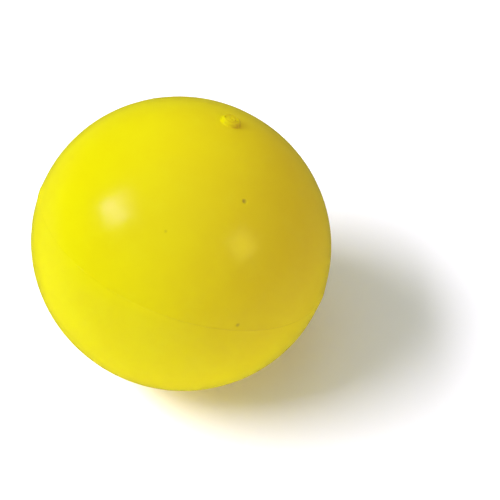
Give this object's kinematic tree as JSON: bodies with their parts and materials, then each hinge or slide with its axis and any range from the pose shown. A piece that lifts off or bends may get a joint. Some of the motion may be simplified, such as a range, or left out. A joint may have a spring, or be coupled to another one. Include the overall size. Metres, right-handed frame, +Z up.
{
  "type": "playground ball",
  "caption": "Inflatable playground ball with a smooth moulded rubber cover, a thin mould line close to its middle and a raised valve whose core pulls out.",
  "frame": {"origin": "centre of the ball's outline seen from above, on the floor that it rests on", "axes": "+Z up; the valve axis leans 26 degrees from +Z, towards a heading 39 degrees from +X to +Y; -Y is the side seen first"},
  "size_m": [0.214, 0.2142, 0.2086],
  "materials": {
    "cover": "smooth, semi-matt yellow",
    "valve": "smooth yellow",
    "thread": "wound off-white nylon thread",
    "butyl": "black, slightly dusty",
    "patch": "buffed dark grey"
  },
  "bodies": {
    "ball": {"cover_upper": "cover", "cover_lower": "cover", "carcass_winding": "thread", "bladder": "butyl", "valve_boot": "valve", "valve_patch": "patch", "balance_patch": "patch"},
    "valve_core": {"valve_core": "valve"}
  },
  "joints": [
    {"name": "valve_core_pull", "type": "slide", "parent": "ball", "child": "valve_core", "axis": [0.3407, 0.2759, 0.8988], "range_m": [0, 0.025]}
  ]
}
